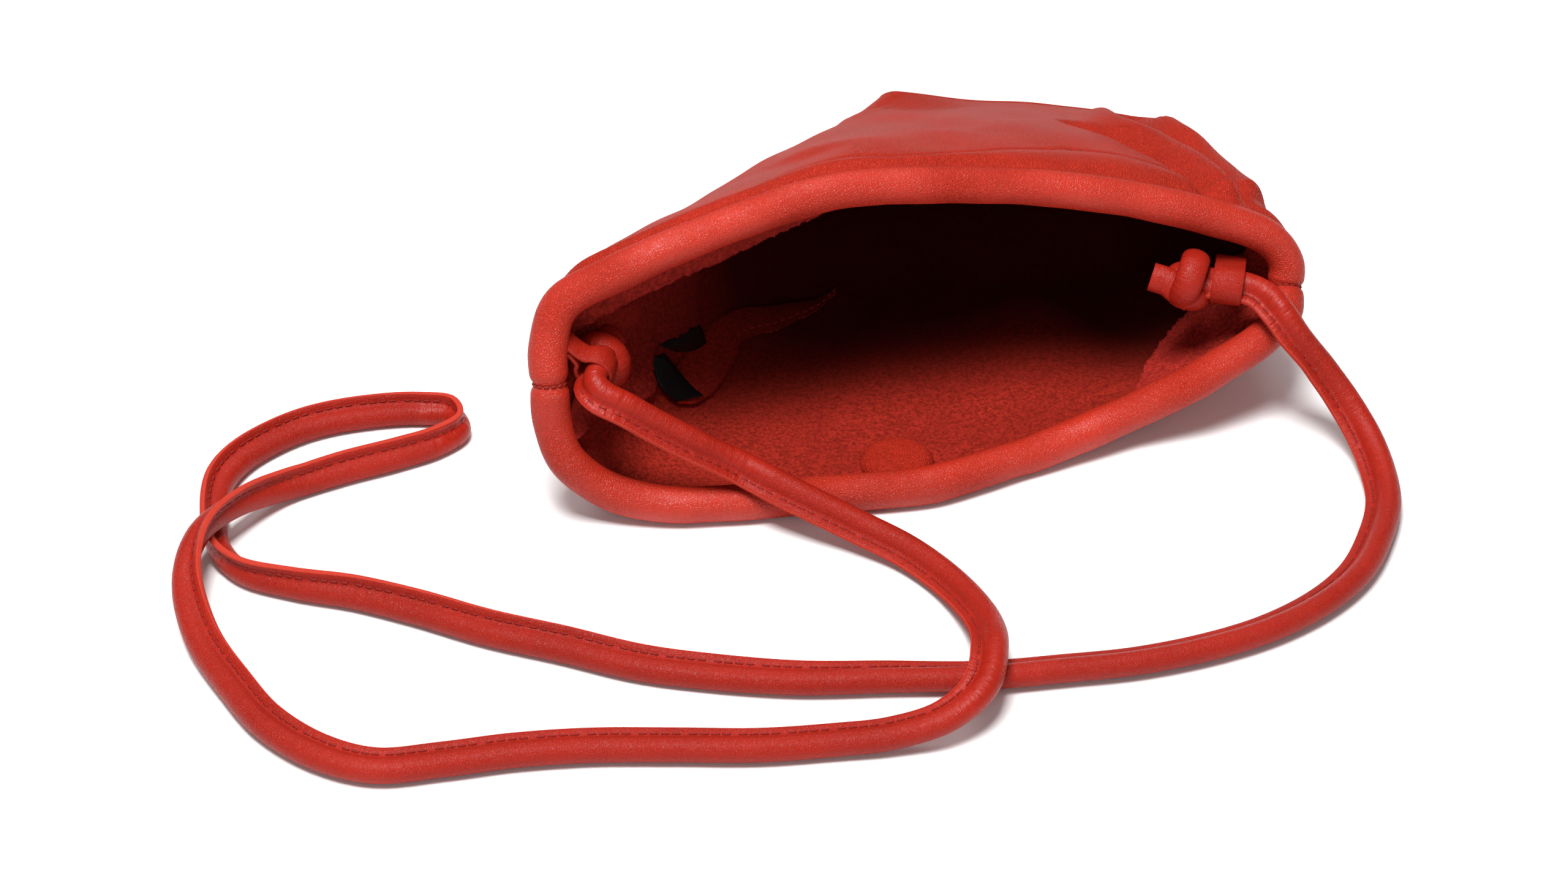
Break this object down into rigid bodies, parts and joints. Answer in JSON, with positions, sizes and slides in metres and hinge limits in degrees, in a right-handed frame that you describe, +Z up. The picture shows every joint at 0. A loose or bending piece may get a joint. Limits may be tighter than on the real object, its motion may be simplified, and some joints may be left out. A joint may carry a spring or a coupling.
{
  "type": "soft leather shoulder pouch",
  "caption": "Slouchy red leather pouch lying open on its back, with a padded rolled mouth, suede inside and a long rolled strap knotted through loops at the side seams.",
  "frame": {"origin": "on the floor under the middle of the pouch's box, without the strap and its knots", "axes": "+X along the mouth from the left seam to the right seam, +Y from the mouth towards the bottom, +Z up from the floor"},
  "size_m": [0.384, 0.3066, 0.0943],
  "materials": {
    "panel_leather": "fine pebbled grain, semi-matte",
    "strap_leather": "fine grain, satin",
    "suede": "fuzzy suede",
    "felt": "soft felt",
    "magnet": "nickel plate",
    "satin": "black satin"
  },
  "bodies": {
    "root": {"front_panel": "panel_leather", "back_panel": "panel_leather", "front_rim_filler": "felt", "back_rim_filler": "felt", "left_side_patch": "suede", "right_side_patch": "suede", "inner_pocket": "suede", "front_magnet": "magnet", "back_magnet": "magnet", "front_magnet_cover": "panel_leather", "back_magnet_cover": "panel_leather", "strap": "strap_leather", "left_strap_loop": "strap_leather", "right_strap_loop": "strap_leather", "left_knot": "strap_leather", "right_knot": "strap_leather", "upper_label": "satin", "lower_label": "satin"}
  },
  "joints": []
}
